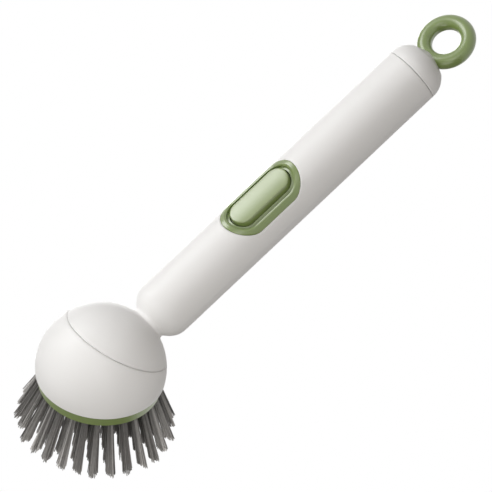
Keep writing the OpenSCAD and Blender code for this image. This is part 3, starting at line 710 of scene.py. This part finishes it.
def tuft_row_tree(materials):
    """A ring of tufts in the brush's frame. Each strand is a curve from the plate to its own cut end."""
    tree, given, out = new_geometry_tree("tuft_row", [
        ("Tufts", "NodeSocketInt", OUTER_TUFTS),
        ("Strands", "NodeSocketInt", STRANDS),
        ("Row Radius", "NodeSocketFloat", OUTER_ROW_R),
        ("Row Turn", "NodeSocketFloat", 0.0),
        ("Lean", "NodeSocketFloat", OUTER_LEAN),
        ("Length", "NodeSocketFloat", BRISTLE_DROP),
        ("Root Radius", "NodeSocketFloat", ROOT_R),
        ("Tip Radius", "NodeSocketFloat", TIP_R),
        ("Strand Radius", "NodeSocketFloat", STRAND_R),
    ])
    socket = given.outputs
    points = tree.nodes.new("GeometryNodePoints")
    total = calc(tree, "MULTIPLY", socket["Tufts"], socket["Strands"])
    plug_in(tree, total, points.inputs["Count"])
    counted = store(tree, points.outputs[0], "INT", "strand", tree.nodes.new("GeometryNodeInputIndex").outputs[0])
    line = tree.nodes.new("GeometryNodeCurvePrimitiveLine")
    steps = tree.nodes.new("GeometryNodeResampleCurve")
    steps.inputs["Count"].default_value = STRAND_POINTS
    tree.links.new(line.outputs[0], steps.inputs["Curve"])
    planted = tree.nodes.new("GeometryNodeInstanceOnPoints")
    tree.links.new(counted, planted.inputs["Points"])
    tree.links.new(steps.outputs[0], planted.inputs["Instance"])
    strands = tree.nodes.new("GeometryNodeRealizeInstances")
    tree.links.new(planted.outputs[0], strands.inputs[0])

    number = named(tree, "INT", "strand")
    tuft = calc(tree, "FLOOR", calc(tree, "DIVIDE", calc(tree, "ADD", number, 0.5), socket["Strands"]))
    in_tuft = calc(tree, "SUBTRACT", number, calc(tree, "MULTIPLY", tuft, socket["Strands"]))
    along = tree.nodes.new("GeometryNodeSplineParameter").outputs["Factor"]

    # Place in the tuft: a sunflower pattern that opens from root to tip
    share = calc(tree, "SQRT", calc(tree, "DIVIDE", calc(tree, "ADD", in_tuft, 0.5), socket["Strands"]))
    bearing = calc(tree, "MULTIPLY_ADD", in_tuft, GOLDEN_ANGLE, calc(tree, "MULTIPLY", tuft, TUFT_TWIST))
    flare = calc(tree, "POWER", along, FLARE_POWER)
    opening = calc(tree, "SUBTRACT", socket["Tip Radius"], socket["Root Radius"])
    radius = calc(tree, "MULTIPLY", share, calc(tree, "MULTIPLY_ADD", flare, opening, socket["Root Radius"]))
    x = calc(tree, "MULTIPLY", radius, calc(tree, "COSINE", bearing))
    y = calc(tree, "MULTIPLY", radius, calc(tree, "SINE", bearing))

    # Wander of a single strand, and the slanted cut, ragged by locks of strands that stick together
    wander = calc(tree, "MULTIPLY", calc(tree, "POWER", along, WANDER_POWER), STRAND_WANDER)
    x = calc(tree, "MULTIPLY_ADD", random_value(tree, -1.0, 1.0, number, seed=1), wander, x)
    y = calc(tree, "MULTIPLY_ADD", random_value(tree, -1.0, 1.0, number, seed=2), wander, y)
    around = calc(tree, "FRACT", calc(tree, "DIVIDE", bearing, math.tau))
    sector = calc(tree, "FLOOR", calc(tree, "MULTIPLY", around, LOCKS_PER_TUFT))
    lock = calc(tree, "MULTIPLY_ADD", tuft, LOCKS_PER_TUFT, sector)
    slant = random_value(tree, -CUT_SLANT, CUT_SLANT, tuft, seed=3)
    cut = calc(tree, "MULTIPLY", calc(tree, "COSINE", calc(tree, "ADD", bearing, slant)), share)
    cut = calc(tree, "MULTIPLY_ADD", cut, CUT_SLOPE, random_value(tree, *STRAND_CUT, number, seed=4))
    cut = calc(tree, "ADD", cut, random_value(tree, *LOCK_CUT, lock, seed=9))
    cut = calc(tree, "ADD", cut, random_value(tree, *TUFT_CUT, tuft, seed=5))
    reach = calc(tree, "ADD", socket["Length"], cut)
    z = calc(tree, "MULTIPLY_ADD", along, calc(tree, "ADD", reach, ROOT_SINK), -ROOT_SINK)

    # From the tuft's frame to the brush's frame
    tuft_lean = calc(tree, "ADD", socket["Lean"], random_value(tree, -LEAN_SPREAD, LEAN_SPREAD, tuft, seed=6))
    leaned = turned(tree, xyz(tree, x, y, z), "Y", calc(tree, "SUBTRACT", math.pi, tuft_lean))
    rooted = vector_calc(tree, "ADD", leaned, xyz(tree, socket["Row Radius"], 0.0, PLATE_FACE))
    step = calc(tree, "DIVIDE", math.tau, socket["Tufts"])
    where = calc(tree, "MULTIPLY", step, calc(tree, "ADD", tuft, socket["Row Turn"]))
    where = calc(tree, "ADD", where, random_value(tree, -PLACE_SPREAD, PLACE_SPREAD, tuft, seed=7))
    move = tree.nodes.new("GeometryNodeSetPosition")
    tree.links.new(strands.outputs[0], move.inputs["Geometry"])
    tree.links.new(turned(tree, rooted, "Z", where), move.inputs["Position"])

    strand_tone = random_value(tree, 0.0, STRAND_TONES, number, seed=8)
    tone = calc(tree, "ADD", strand_tone, random_value(tree, 0.0, LOCK_TONES, lock, seed=10))
    toned = store(tree, move.outputs[0], "FLOAT", "strand_tone", tone)
    marked = store(tree, toned, "FLOAT", "strand_along", along)
    thick = tree.nodes.new("GeometryNodeSetCurveRadius")
    tree.links.new(marked, thick.inputs["Curve"])
    plug_in(tree, spread(tree, along, 1.0, STRAND_THINNING), thick.inputs["Radius"])
    ring = tree.nodes.new("GeometryNodeCurvePrimitiveCircle")
    ring.inputs["Resolution"].default_value = STRAND_SIDES
    tree.links.new(socket["Strand Radius"], ring.inputs["Radius"])
    sweep = tree.nodes.new("GeometryNodeCurveToMesh")
    tree.links.new(thick.outputs[0], sweep.inputs["Curve"])
    tree.links.new(ring.outputs["Curve"], sweep.inputs["Profile Curve"])
    sweep.inputs["Fill Caps"].default_value = True
    finish_tree(tree, sweep.outputs[0], materials["nylon"], out)
    return tree


def finish_tree(tree, geometry, material, out):
    """Every tree ends in real, smooth geometry with its material."""
    real = tree.nodes.new("GeometryNodeRealizeInstances")
    tree.links.new(geometry, real.inputs[0])
    smooth = tree.nodes.new("GeometryNodeSetShadeSmooth")
    tree.links.new(real.outputs[0], smooth.inputs["Geometry"])
    paint = tree.nodes.new("GeometryNodeSetMaterial")
    tree.links.new(smooth.outputs[0], paint.inputs["Geometry"])
    paint.inputs["Material"].default_value = material
    tree.links.new(paint.outputs[0], out.inputs["Geometry"])


def grow(name, tree, values, matrix, material):
    """Runs a geometry tree with the given input values, and returns the result as a plain mesh in place."""
    holder = bpy.data.objects.new(name + "_source", bpy.data.meshes.new(name + "_source"))
    bpy.context.scene.collection.objects.link(holder)
    modifier = holder.modifiers.new("grow", "NODES")
    modifier.node_group = tree
    for item in tree.interface.items_tree:
        if item.in_out == "INPUT" and item.name in values:
            modifier[item.identifier] = values[item.name]
    bpy.context.view_layer.update()
    evaluated = holder.evaluated_get(bpy.context.evaluated_depsgraph_get())
    mesh = bpy.data.meshes.new_from_object(evaluated)
    bpy.data.objects.remove(holder)
    mesh.name = name
    mesh.transform(matrix)
    mesh.materials.clear()
    mesh.materials.append(material)
    piece = bpy.data.objects.new(name, mesh)
    bpy.context.scene.collection.objects.link(piece)
    return piece


def make_bristles(materials):
    """Grows each row of tufts in place of the frame's plain ones."""
    tree = tuft_row_tree(materials)
    for row, node in enumerate(ROW_NODES):
        radius = OUTER_ROW_R - row * ROW_STEP
        lean = OUTER_LEAN * (1 - row / LEANING_ROWS)
        values = {
            "Tufts": round(OUTER_TUFTS * radius / OUTER_ROW_R),
            "Row Radius": radius,
            "Row Turn": row / 2,
            "Lean": lean,
            "Length": BRISTLE_DROP / math.cos(lean) - TIP_SPARE,
        }
        piece = grow("bristles_" + node.split("_")[1], tree, values, brush_matrix(), materials["nylon"])
        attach(piece, "head")
        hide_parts(node)


bpy.context.scene.view_settings.view_transform = "Standard"
make_camera()
make_light()
make_floor()
finishes = make_materials()
dress_frame(finishes)
make_button(finishes)
make_bristles(finishes)
